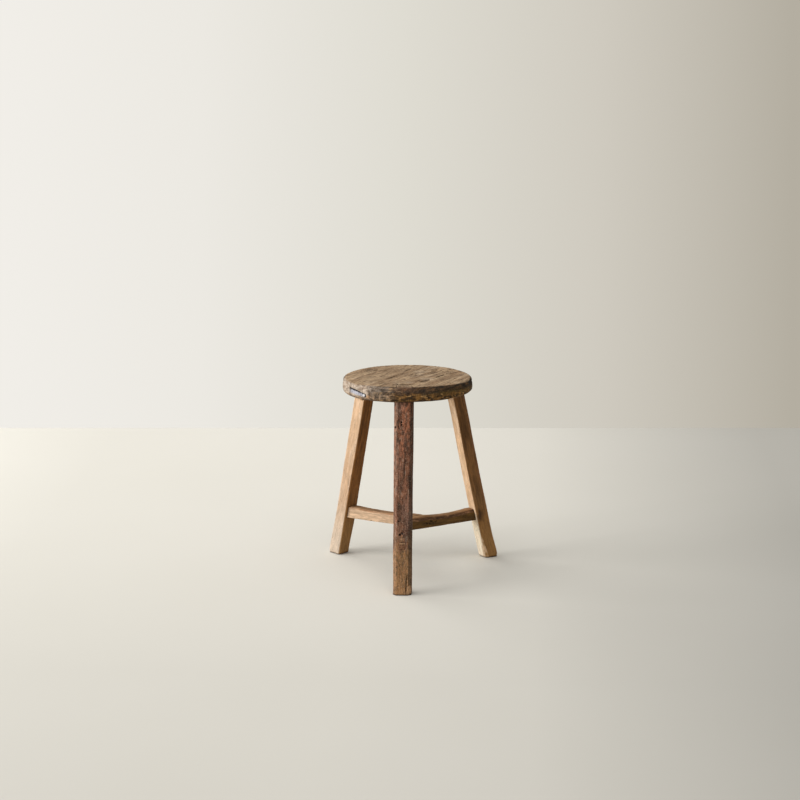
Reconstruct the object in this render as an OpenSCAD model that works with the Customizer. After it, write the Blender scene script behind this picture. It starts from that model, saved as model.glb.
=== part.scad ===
// Three-legged milking stool: a round slab seat on splayed square legs,
// tied low down by three rails that lock into each other like a pinwheel.
// The origin is on the floor in the middle of the room the stool takes up, and the front leg
// points along -Y.
// Lists of three run: front leg, left leg, right leg.

/* [Seat] */
// Diameter of the round seat
seat_d = 310; // [300:5:340]
// Height of the seat's top above the floor
seat_h = 475; // [440:5:500]
// Thickness of the seat slab
seat_t = 32; // [28:1:38]
// Radius that rounds the rim, top and bottom
rim_r = 9; // [6:1:12]

/* [Legs] */
// Distance of each leg's axis in from the seat's edge
leg_inset = [30, 28.5, 33]; // [27:0.5:34]
// How much further out each foot stands than the top of its leg
leg_spread = [88, 88, 102]; // [80:1:110]
// Width of each leg across the line to the centre
leg_w = [43, 35, 32]; // [32:1:44]
// Depth of each leg along the line to the centre
leg_d = [34, 32, 31]; // [30:1:36]
// Turn of each leg about its own axis, in degrees
leg_turn = [1.5, -7.5, 3]; // [-8:0.5:8]
// Chamfer on each leg's two outer corners
outer_chamfer = [7.5, 2, 2]; // [1:0.5:8]
// Chamfer on each leg's two inner corners
inner_chamfer = 2; // [1:0.5:3]

/* [Tenons and wedges] */
// Depth of the leg tenons that pass through the seat
tenon_d = 22; // [18:1:24]
// Shoulder at each side of a leg tenon
tenon_shoulder = 3.5; // [3:0.5:5]
// Thickness of a tenon wedge at the seat's top
wedge_t = 4; // [3:0.5:5]
// How deep the wedges are driven
wedge_depth = 24; // [18:1:26]

/* [Rails] */
// Height of the rails' underside above the floor
rail_z = 99; // [90:1:120]
// Height of a rail's section
rail_h = 27; // [25:1:30]
// Thickness of a rail's section
rail_w = 22; // [20:1:24]
// Turn of each rail off the line from its leg to the centre, in degrees
rail_turn = [3.9, 9.8, 3.9]; // [3.9:0.1:9.8]
// Depth of the hollow that feet have worn into each rail's top
rail_wear = [2, 3, 4]; // [1:0.5:5]

/* [Nails] */
// Diameter of a nail's shank
nail_d = 3; // [2.5:0.25:3.5]
// Length of a nail under its head
nail_length = 36; // [32:1:38]

/* [Hidden] */
$fn = 96;

FRONT = 0;
LEFT = 1;
RIGHT = 2;
legs = [FRONT, LEFT, RIGHT];
// Direction of each leg seen from above, in degrees from +X
leg_dir = [270, 146, 30.4];
// Distance at which each rail's middle line passes the middle of the stool
rail_pass = [13, 28, 9.5];
// Gap left round every tenon, wedge and nail
gap = 0.1;
// Overshoot that lets cutters break cleanly through a face
over = 1;
// Longer than any piece, for blanks that are cut to length
blank = 700;

seat_r = seat_d / 2;
seat_under = seat_h - seat_t;
leg_top = [for (i = legs) seat_r - leg_inset[i]];
leg_lean = [for (i = legs) atan(leg_spread[i] / seat_under)];
// Distance of each leg's axis from the middle of the stool, level with the rails
rail_mid_z = rail_z + rail_h / 2;
leg_at_rail = [for (i = legs) leg_top[i] + leg_spread[i] * (1 - rail_mid_z / seat_under)];
// How far the wedges taper in, as a share of their thickness
wedge_tip = 0.3;
// Section of the rails' tenons: the ones through the legs and the stub ones at the hub
rail_tenon_w = 14;
rail_tenon_h = 15;
stub_length = 8;
// How deep each rail's tenon goes into its leg: the front one comes out flush, the others are blind
rail_tenon_depth = [leg_d[FRONT], 20, 20];
// Length of the hollow worn into each rail, and the distance of its middle from the stool's middle
wear_length = [110, 150, 120];
wear_middle = [90, 78, 103];
wear_r = [for (i = legs) (pow(wear_length[i] / 2, 2) + pow(rail_wear[i], 2)) / (2 * rail_wear[i])];
// A nail's head stands this high above the floor and points down into the tenon below it
nail_z = 139;
nail_drop = 30;
nail_head_d = 6;
nail_head_t = 1.2;
nail_sink = 1.5;

// Puts its children in a leg's own frame: +X outwards, +Z up along the leg from its foot
module on_leg(i) {
    rotate([0, 0, leg_dir[i]])
    translate([leg_top[i] + leg_spread[i], 0, 0])
    rotate([0, -leg_lean[i], 0])
    rotate([0, 0, leg_turn[i]])
    children();
}

// Corners of a leg's section, with its four arrises cut off
function leg_outline(i) =
    let (x = leg_d[i] / 2, y = leg_w[i] / 2, a = outer_chamfer[i], b = inner_chamfer)
    [
        [x, -y + a], [x, y - a], [x - a, y], [-x + b, y],
        [-x, y - b], [-x, -y + b], [-x + b, -y], [x - a, -y]
    ];

// A point turned about the origin
function turned(p, angle) =
    [p.x * cos(angle) - p.y * sin(angle), p.x * sin(angle) + p.y * cos(angle)];

// Where a line along a leg, through point p of its section, meets the floor
function foot_point(i, p) =
    let (q = turned(p, leg_turn[i]))
    turned([leg_top[i] + leg_spread[i] + q.x / cos(leg_lean[i]), q.y], leg_dir[i]);

// The room that the stool takes up on the floor, and its middle
foot_points = [for (i = legs) for (p = leg_outline(i)) foot_point(i, p)];
reach_x = concat([-seat_r, seat_r], [for (p = foot_points) p.x]);
reach_y = concat([-seat_r, seat_r], [for (p = foot_points) p.y]);
middle = [(min(reach_x) + max(reach_x)) / 2, (min(reach_y) + max(reach_y)) / 2];

// Moves a piece so that the middle of the stool's room on the floor is the origin
module placed() {
    translate([-middle.x, -middle.y, 0]) children();
}

// A leg's section drawn out well past both ends
module leg_blank(i) {
    on_leg(i) translate([0, 0, -blank / 2]) linear_extrude(2 * blank) polygon(leg_outline(i));
}

// The tenon at the top of a leg, drawn out past the seat
module leg_tenon_blank(i, grow = 0) {
    d = tenon_d + 2 * grow;
    w = leg_w[i] - 2 * tenon_shoulder + 2 * grow;
    on_leg(i) translate([-d / 2, -w / 2, 0]) cube([d, w, blank]);
}

// Everything between two heights
module slab(z0, z1) {
    translate([-blank / 2, -blank / 2, z0]) cube([blank, blank, z1 - z0]);
}

// A wedge that spreads the tenon across its depth, thick at the seat's top
module wedge(i, grow = 0) {
    top = wedge_t / 2 + grow;
    tip = top * wedge_tip;
    w = leg_w[i] - 2 * tenon_shoulder;
    along = seat_h / cos(leg_lean[i]);
    on_leg(i)
    translate([0, w / 2, along])
    rotate([90, 0, 0])
    linear_extrude(w)
    polygon([[-tip, -wedge_depth - grow], [tip, -wedge_depth - grow], [top, seat_t / 2], [-top, seat_t / 2]]);
}

// Puts its children in a rail's own frame: +X from the leg to the hub, at the rail's underside
module on_rail(i) {
    rotate([0, 0, leg_dir[i] + 180 + rail_turn[i]]) translate([0, rail_pass[i], rail_z]) children();
}

// A straight bar along a rail's line, centred in the rail's section
module rail_bar(i, w, h, from, to) {
    on_rail(i) translate([from, -w / 2, (rail_h - h) / 2]) cube([to - from, w, h]);
}

// The rail that another rail's inner end joins
function joined(i) = [LEFT, RIGHT, FRONT][i];

// The room beyond the face of the joined rail, to a given depth under that face
module beyond_face(i, from, to) {
    j = joined(i);
    on_rail(j) translate([-blank / 2, -rail_w / 2 + from, -rail_z]) cube([blank, to - from, blank]);
}

// A nail driven in through a leg's outer face, down into the rail tenon
module nail(i, grow = 0) {
    r = nail_d / 2 + grow;
    along = nail_z / cos(leg_lean[i]);
    on_leg(i)
    translate([leg_d[i] / 2 - nail_sink, 0, along])
    rotate([0, -90 - nail_drop, 0]) {
        cylinder(r = r, h = nail_length + grow);
        translate([0, 0, -nail_head_t]) cylinder(r = nail_head_d / 2 + grow, h = nail_head_t + grow);
    }
}

// The bored way of a nail, open to the outside
module nail_way(i) {
    along = nail_z / cos(leg_lean[i]);
    nail(i, gap);
    on_leg(i)
    translate([leg_d[i] / 2 - nail_sink, 0, along])
    rotate([0, 90 - nail_drop, 0])
    cylinder(r = nail_head_d / 2 + gap, h = leg_d[i] / 4);
}

// The tenon of a rail in its leg, cut square with the leg's faces
module leg_end_tenon(i, grow = 0) {
    x0 = -leg_d[i];
    x1 = -leg_d[i] / 2 + rail_tenon_depth[i] + grow;
    intersection() {
        rail_bar(i, rail_tenon_w + 2 * grow, rail_tenon_h + 2 * grow, -blank / 2, 0);
        on_leg(i) translate([x0, -leg_w[i] / 2, 0]) cube([x1 - x0, leg_w[i], blank / 2]);
    }
}

// Half of the seat's outline, with a rounded rim
module seat_profile() {
    flat = seat_r - rim_r;
    square([flat, seat_t]);
    translate([0, rim_r]) square([seat_r, seat_t - 2 * rim_r]);
    translate([flat, rim_r]) circle(rim_r);
    translate([flat, seat_t - rim_r]) circle(rim_r);
}

module seat() {
    color("#a59178")
    placed()
    difference() {
        translate([0, 0, seat_under]) rotate_extrude($fn = 180) seat_profile();
        for (i = legs) leg_tenon_blank(i, gap);
    }
}

module leg(i) {
    difference() {
        union() {
            intersection() {
                leg_blank(i);
                slab(0, seat_under - gap);
            }
            intersection() {
                leg_tenon_blank(i);
                slab(seat_under - over, seat_h);
            }
        }
        wedge(i, gap);
        leg_end_tenon(i, gap);
        nail_way(i);
    }
}

module front_leg() {
    color("#7d5a4b") placed() leg(FRONT);
}

module left_leg() {
    color("#c9a888") placed() leg(LEFT);
}

module right_leg() {
    color("#c3a484") placed() leg(RIGHT);
}

module cut_wedge(i) {
    color("#8f7454")
    placed()
    intersection() {
        wedge(i);
        slab(0, seat_h);
    }
}

module front_leg_wedge() {
    cut_wedge(FRONT);
}

module left_leg_wedge() {
    cut_wedge(LEFT);
}

module right_leg_wedge() {
    cut_wedge(RIGHT);
}

// The room on the outer side of a leg's inner face
module behind_shoulder(i) {
    on_leg(i) translate([-leg_d[i] / 2 - gap, -blank / 2, -blank / 2]) cube([blank, blank, 2 * blank]);
}

// The body of a rail, from the leg's inner face to the side of the rail it joins
module rail_body(i) {
    difference() {
        rail_bar(i, rail_w, rail_h, -leg_at_rail[i], blank / 4);
        behind_shoulder(i);
        beyond_face(i, -gap, blank / 2);
    }
}

// The stub tenon at the hub
module hub_end_tenon(i) {
    intersection() {
        rail_bar(i, rail_tenon_w, rail_tenon_h, -rail_w, blank / 4);
        beyond_face(i, -rail_w / 2, stub_length);
    }
}

// The stub mortise that a rail offers to the rail that joins it
module hub_mortise(i) {
    intersection() {
        rail_bar(i, rail_tenon_w + 2 * gap, rail_tenon_h + 2 * gap, -rail_w, blank / 4);
        beyond_face(i, -over, stub_length + gap);
    }
}

// The hollow that feet have worn into a rail's top
module wear_hollow(i) {
    on_rail(i)
    translate([-wear_middle[i], 0, rail_h + wear_r[i] - rail_wear[i]])
    rotate([90, 0, 0])
    cylinder(r = wear_r[i], h = 2 * rail_w, center = true, $fn = 180);
}

// A rail, with the mortise for the rail that arrives at its side
module rail(i, arriving) {
    difference() {
        union() {
            rail_body(i);
            leg_end_tenon(i);
            hub_end_tenon(i);
        }
        hub_mortise(arriving);
        nail_way(i);
        wear_hollow(i);
    }
}

module front_rail() {
    color("#86694f") placed() rail(FRONT, RIGHT);
}

module left_rail() {
    color("#c2a07c") placed() rail(LEFT, FRONT);
}

module right_rail() {
    color("#6b5238") placed() rail(RIGHT, LEFT);
}

module rail_nails() {
    color("#3a322c") placed() for (i = legs) nail(i);
}

seat();
front_leg();
left_leg();
right_leg();
front_leg_wedge();
left_leg_wedge();
right_leg_wedge();
front_rail();
left_rail();
right_rail();
rail_nails();
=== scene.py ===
"""Old three-legged milking stool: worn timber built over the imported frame."""

import math
from types import SimpleNamespace

import bpy
import numpy as np
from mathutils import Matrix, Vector
from mathutils.bvhtree import BVHTree


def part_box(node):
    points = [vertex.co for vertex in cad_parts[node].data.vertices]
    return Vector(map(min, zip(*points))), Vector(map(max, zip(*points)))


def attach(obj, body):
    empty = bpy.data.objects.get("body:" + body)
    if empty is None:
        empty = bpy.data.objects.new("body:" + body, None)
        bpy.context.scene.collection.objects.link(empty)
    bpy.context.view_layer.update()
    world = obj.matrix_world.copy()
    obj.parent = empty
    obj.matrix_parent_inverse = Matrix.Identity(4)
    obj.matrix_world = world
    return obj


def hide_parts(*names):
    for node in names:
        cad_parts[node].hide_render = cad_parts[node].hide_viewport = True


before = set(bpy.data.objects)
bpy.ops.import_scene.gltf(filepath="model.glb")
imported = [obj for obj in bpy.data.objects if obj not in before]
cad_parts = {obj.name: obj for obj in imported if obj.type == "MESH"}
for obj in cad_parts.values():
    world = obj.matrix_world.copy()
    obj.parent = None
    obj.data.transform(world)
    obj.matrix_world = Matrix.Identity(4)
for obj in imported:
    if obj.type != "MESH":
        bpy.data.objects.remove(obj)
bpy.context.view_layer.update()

MM = 0.001
CAMERA_TURN = 3.9
CAMERA_BACK = 4.692
CAMERA_SIDE = -0.0183
CAMERA_HEIGHT = 1.4157
CAMERA_DOWN = 12.01
CAMERA_LENS = 90.0

# ---- small helpers


def srgb(red, green, blue):
    """A screen colour, 0 to 255, as linear light."""
    c = np.array([red, green, blue]) / 255
    return np.where(c <= 0.04045, c / 12.92, ((c + 0.055) / 1.055) ** 2.4)


def ramp(x, start, end):
    """0 at start, 1 at end, with a soft turn at both."""
    t = np.clip((x - start) / (end - start), 0, 1)
    return t * t * (3 - 2 * t)


def bell(x, middle, width):
    """1 where x is at the middle, fading to 0 on both sides within about twice the width."""
    return np.exp(-(((x - middle) / width) ** 2))


def mix(a, b, t):
    """a where t is 0, b where t is 1; a and b may be colours."""
    a, b, t = np.asarray(a, float), np.asarray(b, float), np.asarray(t, float)
    if t.ndim == 1 and (a.ndim == 2 or b.ndim == 2 or a.shape == (3,) or b.shape == (3,)):
        t = t[:, None]
    return a + (b - a) * t


def direction(degrees):
    """The unit vector in plan at an angle from +X."""
    return np.array([math.cos(math.radians(degrees)), math.sin(math.radians(degrees)), 0.0])


def new_object(name, data):
    obj = bpy.data.objects.new(name, data)
    bpy.context.scene.collection.objects.link(obj)
    return obj


LATTICE = 256
_rng = np.random.default_rng(41)
HASH = _rng.permutation(LATTICE)
SLOPES = _rng.normal(size=(LATTICE, 3))
SLOPES /= np.linalg.norm(SLOPES, axis=1, keepdims=True)


def noise(p):
    """Smooth noise from about -1 to 1 at the points p, with features about one unit across."""
    cell = np.floor(p).astype(int)
    f = p - cell
    soft = f * f * f * (f * (f * 6 - 15) + 10)
    total = np.zeros(len(p))
    for corner in np.ndindex(2, 2, 2):
        c = cell + corner
        key = HASH[(HASH[(HASH[c[:, 0] % LATTICE] + c[:, 1]) % LATTICE] + c[:, 2]) % LATTICE]
        weight = np.prod(np.where(corner, soft, 1 - soft), axis=1)
        total += weight * np.einsum("ij,ij->i", SLOPES[key], f - corner)
    return total * 1.7


def layered(p, octaves):
    """Noise with finer and weaker layers on top."""
    return sum(noise(p * 2**k + 17.3 * k) / 2**k for k in range(octaves))


def patches(q, across, along, seed, low, high, octaves=3):
    """Soft-edged patches in a piece's own axes, from 0 to 1."""
    return ramp(layered(q / [across, across, along] + seed, octaves), low, high)


def stretched(q, size, length, seed):
    """Noise in a piece's own axes: size metres across the grain and length metres along it."""
    return noise(q / np.array([size, size, length]) + seed * 7.31)


# ---- meshes as arrays

JOINT_REACH = 2 * MM
BLUR_ROUNDS = 24
SOFTEN_ROUNDS = 4


def neighbours_of(node):
    """A search tree of every other drawn piece."""
    points, faces = [], []
    for name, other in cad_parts.items():
        if name != node:
            first = len(points)
            points += [vertex.co.copy() for vertex in other.data.vertices]
            faces += [[first + k for k in face.vertices] for face in other.data.polygons]
    return BVHTree.FromPolygons(points, faces)


def openness(node, co):
    """1 where a point is free to move, 0 on the hidden faces of a joint, which stay as drawn."""
    tree = neighbours_of(node)
    gaps = [tree.find_nearest(Vector(point), JOINT_REACH)[3] for point in co]
    gaps = np.array([JOINT_REACH if gap is None else gap for gap in gaps])
    return ramp(gaps, 0.6 * MM, 1.6 * MM)


class Skin:
    """The dense skin of one piece, as arrays, with its own axes."""

    def __init__(self, node, voxel, soften, tight=(), reach=0.0):
        """tight lists the places within whose reach the arrises stay crisp."""
        self.node = node
        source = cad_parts[node]
        obj = new_object(node + "_worn", source.data.copy())
        remesh = obj.modifiers.new("remesh", "REMESH")
        remesh.mode = "VOXEL"
        remesh.voxel_size = voxel * 1
        shaped = obj.evaluated_get(bpy.context.evaluated_depsgraph_get())
        mesh = bpy.data.meshes.new_from_object(shaped)
        obj.modifiers.clear()
        obj.data = mesh
        mesh.name = obj.name
        self.obj, self.mesh = obj, mesh
        self.edges = self.read(mesh.edges, "vertices", 2, np.int32)
        self.co = self.read(mesh.vertices, "co", 3, np.float32).astype(float)
        self.degree = np.bincount(self.edges.ravel(), minlength=len(self.co))[:, None]
        self.open = openness(node, self.co)
        free = self.open.copy()
        for place in tight:
            away = np.linalg.norm((self.co - place) * [1, 1, 0.6], axis=1)
            free *= ramp(away, reach, reach * 1.25)
        self.co = mix(self.co, self.smooth(self.co, soften), free)
        self.put()
        self.edge = self.bulge()

    @staticmethod
    def read(items, name, width, kind):
        flat = np.zeros(len(items) * width, kind)
        items.foreach_get(name, flat)
        return flat.reshape(-1, width) if width > 1 else flat

    def smooth(self, values, times):
        """values averaged with their neighbours' values, a number of times."""
        a, b = self.edges.T
        out = values.copy()
        for _ in range(times):
            total = np.stack(
                [
                    np.bincount(a, out[b, k], len(out)) + np.bincount(b, out[a, k], len(out))
                    for k in range(out.shape[1])
                ],
                axis=1,
            )
            out = 0.4 * out + 0.6 * total / self.degree
        return out

    def bulge(self):
        """How far each point stands out of its blurred surroundings, in metres."""
        return np.einsum("ij,ij->i", self.co - self.smooth(self.co, BLUR_ROUNDS), self.normals())

    def put(self):
        self.mesh.vertices.foreach_set("co", self.co.astype(np.float32).ravel())
        self.mesh.update()

    def normals(self):
        return self.read(self.mesh.vertex_normals, "vector", 3, np.float32).astype(float)

    def sink(self, depth):
        """Moves each point inwards by depth, in metres."""
        self.co -= self.normals() * np.asarray(depth)[:, None]
        self.put()

    def stand(self):
        """Flattens whatever has gone below the floor."""
        self.co[:, 2] = np.maximum(self.co[:, 2], 0)
        self.put()

    def paint(self, tone, q, dark, rubbed):
        """Stores the colour, the grain axes, the dark mask of grime and painted shade, and the rubbed wear
        mask.
        """
        mesh = self.mesh
        colour = np.ones((len(self.co), 4))
        colour[:, :3] = np.clip(tone, 0, 1)
        mesh.attributes.new("tone", "FLOAT_COLOR", "POINT").data.foreach_set("color", colour.ravel())
        mesh.attributes.new("grain", "FLOAT_VECTOR", "POINT").data.foreach_set("vector", q.ravel())
        for name, mask in (("dark", dark), ("rubbed", rubbed)):
            data = mesh.attributes.new(name, "FLOAT", "POINT").data
            data.foreach_set("value", np.clip(mask, 0, 1))

    def finish(self, material, slot):
        self.mesh.materials.clear()
        self.mesh.materials.append(material)
        self.mesh.polygons.foreach_set("use_smooth", np.ones(len(self.mesh.polygons), bool))
        self.mesh.update()
        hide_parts(self.node)
        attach(self.obj, "root")


def cad_points(node):
    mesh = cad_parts[node].data
    return Skin.read(mesh.vertices, "co", 3, np.float32).astype(float)


def tightest_turn(points):
    """The angle from 0 to 90 degrees at which the box round plan points is smallest."""
    best = None
    for degrees in np.arange(0, 90, 0.25):
        a, b = direction(degrees)[:2], direction(degrees + 90)[:2]
        area = np.ptp(points @ a) * np.ptp(points @ b)
        if best is None or area < best[0]:
            best = (area, degrees)
    return best[1]


def leg_axes(node, seat_mid):
    """A leg's foot, and its own axes: outwards, sideways and up along the leg."""
    points = cad_points(node)
    foot = points[points[:, 2] < points[:, 2].min() + MM]
    head = points[points[:, 2] > points[:, 2].max() - MM]
    turn = tightest_turn(foot[:, :2])
    out = foot.mean(axis=0) - seat_mid
    sides = [direction(turn + 90 * k) for k in range(4)]
    side = max(sides, key=lambda s: s @ out)
    across = np.array([-side[1], side[0], 0])
    base = np.array([0.0, 0.0, foot[:, 2].min()])
    for axis in (side, across):
        reach = foot @ axis
        base += axis * (reach.min() + reach.max()) / 2
    up = head.mean(axis=0) - base
    up /= np.linalg.norm(up)
    side -= up * (side @ up)
    side /= np.linalg.norm(side)
    return base, np.array([side, np.cross(up, side), up])


def rail_axes(node, leg_foot):
    """A rail's middle, and its own axes: sideways, up, and along it towards the hub."""
    points = cad_points(node)
    low = points[points[:, 2] < points[:, 2].min() + MM]
    turn = tightest_turn(low[:, :2])
    options = [direction(turn + 90 * k) for k in range(4)]
    middle = (points.min(axis=0) + points.max(axis=0)) / 2
    along = max(options, key=lambda s: s @ (middle - leg_foot))
    side = np.array([-along[1], along[0], 0])
    origin = np.array([0.0, 0.0, low[:, 2].min()])
    for axis in (side, along):
        reach = low @ axis
        origin += axis * (reach.min() + reach.max()) / 2
    return origin, np.array([side, [0.0, 0.0, 1.0], along])


# ---- timber shapes


def rings(q, pith, spacing, seed):
    """Yearly rings: 0 in soft early wood, 1 on the hard late-wood line."""
    bend = 2.2 * spacing * stretched(q, 0.05, 0.5, seed) + 0.5 * spacing * stretched(q, 0.02, 0.16, seed + 1)
    radius = np.hypot(q[:, 0] - pith[0], q[:, 1] - pith[1]) + bend
    phase = radius / spacing + 0.35 * stretched(q, 0.03, 0.4, seed + 2)
    part = phase - np.floor(phase)
    return part**2.2 * (1 - ramp(part, 0.9, 1.0))


def split(flat, start, end, width, depth, seed):
    """The depth of a crack between two plan points, narrowing to its ends."""
    start, end = np.asarray(start), np.asarray(end)
    run = end - start
    length = np.linalg.norm(run)
    run = run / length
    t = (flat - start) @ run / length
    side = (flat - start) @ np.array([-run[1], run[0]])
    wander = np.stack([t * length / 0.007, np.full(len(t), seed * 3.7), np.zeros(len(t))], axis=1)
    side = side + 0.0006 * noise(wander) + 0.0004 * noise(wander * 2.7)
    taper = ramp(t, 0, 0.25) * (1 - ramp(t, 0.7, 1)) * (0.9 + 0.4 * noise(wander * 0.9 + 5))
    opening = width * (0.45 + 0.6 * taper)
    return depth * np.clip(taper, 0, 1) * bell(side, 0, opening)


def pit(points, centre, radius, depth):
    """The depth of a round hole with soft edges."""
    away = np.linalg.norm(points - np.asarray(centre), axis=1)
    return depth * (1 - ramp(away, radius * 0.5, radius * 1.3))


# ---- materials


class Graph:
    """A short way to write shader nodes."""

    def __init__(self, tree):
        self.tree = tree

    def node(self, kind, inputs=(), **settings):
        made = self.tree.nodes.new(kind)
        for name, value in settings.items():
            setattr(made, name, value)
        for name, value in dict(inputs).items():
            if isinstance(value, bpy.types.NodeSocket):
                self.tree.links.new(value, made.inputs[name])
            else:
                made.inputs[name].default_value = value
        return made

    def math(self, operation, a, b=0.0, clamp=False):
        return self.node("ShaderNodeMath", {0: a, 1: b}, operation=operation, use_clamp=clamp).outputs[0]

    def spread(self, value, low, high, to_low, to_high):
        inputs = {"Value": value, "From Min": low, "From Max": high, "To Min": to_low, "To Max": to_high}
        return self.node("ShaderNodeMapRange", inputs).outputs[0]

    def grain_noise(self, coords, along, scale, detail, rough=0.55):
        place = {"Vector": coords, "Scale": (1.0, 1.0, along)}
        moved = self.node("ShaderNodeMapping", place).outputs[0]
        inputs = {"Vector": moved, "Scale": scale, "Detail": detail, "Roughness": rough}
        return self.node("ShaderNodeTexNoise", inputs).outputs[0]

    def scaled(self, colour, factor):
        inputs = {0: colour, "Scale": factor}
        return self.node("ShaderNodeVectorMath", inputs, operation="SCALE").outputs[0]

    def stored(self, name, output):
        return self.node("ShaderNodeAttribute", attribute_name=name).outputs[output]

    def surface(self, inputs):
        shader = self.node("ShaderNodeBsdfPrincipled", inputs)
        self.node("ShaderNodeOutputMaterial", {"Surface": shader.outputs[0]})

    def blend(self, factor, a, b):
        made = self.node("ShaderNodeMix", data_type="RGBA")
        for socket, value in ((made.inputs[0], factor), (made.inputs[6], a), (made.inputs[7], b)):
            if isinstance(value, bpy.types.NodeSocket):
                self.tree.links.new(value, socket)
            else:
                socket.default_value = value
        return made.outputs[2]


def new_material(name):
    material = bpy.data.materials.new(name)
    material.use_nodes = True
    tree = material.node_tree
    tree.nodes.clear()
    return material, Graph(tree)


def timber_material(name, fibre_depth, gloss, speckle, contrast):
    """Old wood: the stored tone, with fibres, pores, grime and painted shade in the hollows, and rubbed high
    spots.
    """
    material, g = new_material(name)
    grain = g.stored("grain", "Vector")
    tone = g.stored("tone", "Color")
    dark = g.stored("dark", "Fac")
    rubbed = g.stored("rubbed", "Fac")

    fibre = g.grain_noise(grain, 0.03, 1500, 5)
    streak = g.grain_noise(grain, 0.035, 330, 5)
    pore = g.grain_noise(grain, 0.06, 900, 2, 0.4)
    blotch = g.grain_noise(grain, 0.45, 55, 4)
    dust = g.grain_noise(grain, 0.8, 700, 3)

    pores = g.spread(pore, 0.6, 0.68, 0.0, 1.0)
    light = 1.0
    for value, darker, lighter in ((streak, 0.28, 0.26), (fibre, 0.2, 0.18), (blotch, 0.16, 0.14)):
        varied = g.spread(value, 0.3, 0.7, 1 - darker * contrast, 1 + lighter * contrast)
        light = g.math("MULTIPLY", light, varied)
    for mask, most in ((pores, 1 - 0.45 * contrast), (dark, 0.1), (rubbed, 1.3)):
        light = g.math("MULTIPLY", light, g.spread(mask, 0.0, 1.0, 1.0, most))
    colour = g.scaled(tone, light)
    greyed = g.math("MULTIPLY", g.spread(dust, 0.5, 0.72, 0.0, speckle), g.spread(dark, 0, 0.3, 1, 0))
    colour = g.blend(greyed, colour, (*srgb(196, 180, 156), 1))

    rough = g.math("ADD", g.spread(fibre, 0.3, 0.7, -0.08, 0.08), gloss)
    rough = g.math("SUBTRACT", rough, g.math("MULTIPLY", rubbed, 0.16))
    rough = g.math("ADD", rough, g.math("MULTIPLY", dark, 0.2), clamp=True)

    height = 0.0
    for value, share in ((fibre, 0.5), (streak, 0.9), (pores, -0.45), (dust, 0.2)):
        height = g.math("ADD", height, g.math("MULTIPLY", value, share))
    bump = g.node("ShaderNodeBump", {"Height": height, "Strength": 0.8, "Distance": fibre_depth})
    inputs = {
        "Base Color": colour,
        "Roughness": rough,
        "Normal": bump.outputs[0],
        "Specular IOR Level": 0.12,
    }
    g.surface(inputs)
    return material


def iron_material():
    """Rusted nail iron."""
    material, g = new_material("rusted_iron")
    place = g.node("ShaderNodeTexCoord").outputs["Object"]
    rust = g.node("ShaderNodeTexNoise", {"Vector": place, "Scale": 900, "Detail": 6}).outputs[0]
    coarse = g.node("ShaderNodeTexNoise", {"Vector": place, "Scale": 350, "Detail": 3}).outputs[0]
    amount = g.spread(coarse, 0.4, 0.6, 0.0, 1.0)
    colour = g.blend(amount, (*srgb(48, 40, 36), 1), (*srgb(92, 58, 38), 1))
    bump = g.node("ShaderNodeBump", {"Height": rust, "Strength": 0.9, "Distance": 0.0004})
    inputs = {
        "Base Color": colour,
        "Roughness": g.spread(rust, 0.3, 0.7, 0.6, 0.9),
        "Metallic": g.spread(amount, 0, 1, 0.7, 0.1),
        "Normal": bump.outputs[0],
    }
    g.surface(inputs)
    return material


SEAT_WOOD = timber_material("weathered_seat", 0.0007, 0.74, 0.12, 1.2)
RED_WOOD = timber_material("red_leg", 0.0005, 0.66, 0.3, 1.0)
PALE_WOOD = timber_material("pale_legs", 0.00035, 0.7, 0.08, 0.42)
RAIL_WOOD = timber_material("rails", 0.0002, 0.62, 0.08, 0.45)
WEDGE_WOOD = timber_material("wedges", 0.0005, 0.7, 0.2, 1.0)

# ---- the seat

seat_low, seat_high = (np.array(corner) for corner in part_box("seat"))
seat_mid = (seat_low + seat_high) / 2
seat_mid[2] = 0
SEAT_R = (seat_high[0] - seat_low[0]) / 2
SEAT_T = seat_high[2] - seat_low[2]
# Angles round the seat, in degrees from +X
SEAT_GRAIN = 62.0
POCKET_TURN = -136.5
NOTCH_TURN = -8
GREY_TURN = -146
FAR_GREY_TURN = 66


def seat_axes(co):
    """Across the grain, down from the top, and along the grain."""
    rel = co - seat_mid
    along = direction(SEAT_GRAIN)
    across = direction(SEAT_GRAIN - 90)
    return np.stack([rel @ across, co[:, 2] - seat_high[2], rel @ along], axis=1)


def head_place(node):
    """The middle of a leg's end in the seat's top."""
    points = cad_points(node)
    return points[points[:, 2] > points[:, 2].max() - MM].mean(axis=0)


LEGS = ("front_leg", "left_leg", "right_leg")
HEADS = {leg: head_place(leg) for leg in LEGS}
HEAD_REACH = 17 * MM
rail_points = cad_points("front_rail")
rail_reach = np.linalg.norm((rail_points - seat_mid)[:, :2], axis=1)
TENON_END = rail_points[rail_reach > rail_reach.max() - 4 * MM].mean(axis=0)
# Ends of rails that show in a leg's outer face
JOINTS = {"front_leg": [TENON_END]}

# Cracks in the top, in millimetres from the seat's middle: start, end, half width, depth
TOP_CRACKS = [
    ((31, -65), (56, -22), 2.7, 7.5),
    ((46, -60), (57, -40), 1.5, 4.0),
    ((67, -9), (89, 38), 1.9, 5.0),
    ((-50, -39), (-23, 18), 1.8, 4.0),
    ((-96, 10), (-74, 58), 1.2, 2.6),
    ((-12, 62), (6, 104), 1.2, 2.6),
    ((108, -30), (121, -2), 0.8, 2.0),
    ((-18, -128), (-2, -100), 0.8, 2.0),
    ((14, 20), (30, 56), 0.7, 1.6),
    ((52, 60), (70, 104), 1.1, 2.4),
    ((-62, -96), (-46, -62), 0.8, 1.8),
    ((100, 20), (112, 52), 0.7, 1.6),
    ((-28, -10), (-12, 26), 0.7, 1.4),
]
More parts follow.
